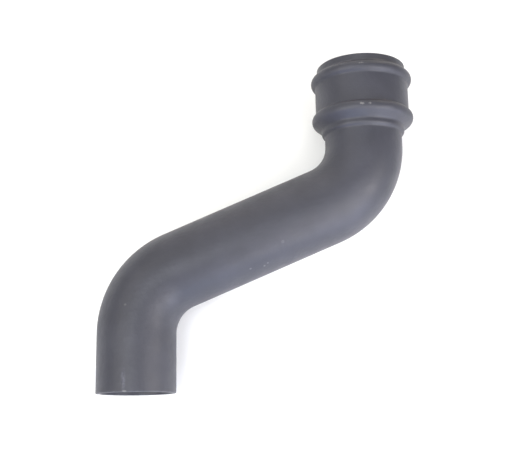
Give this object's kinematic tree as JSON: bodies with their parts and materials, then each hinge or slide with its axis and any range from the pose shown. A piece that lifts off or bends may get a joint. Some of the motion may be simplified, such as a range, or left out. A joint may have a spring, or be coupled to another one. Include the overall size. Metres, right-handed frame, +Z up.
{
  "type": "downpipe offset bend",
  "caption": "Swan-neck offset for a round downpipe: beaded socket, sloping middle and plain spigot in a single painted casting.",
  "frame": {"origin": "on the floor that the casting lies on, under the middle of its bounding box", "axes": "+Y out of the socket's mouth, +X from the spigot's axis towards the socket's, +Z up"},
  "size_m": [0.313, 0.319, 0.1004],
  "materials": {
    "painted_casting": "dark grey powder paint, semi-matt, over a fine cast skin"
  },
  "bodies": {
    "root": {"offset_bend": "painted_casting"}
  },
  "joints": []
}
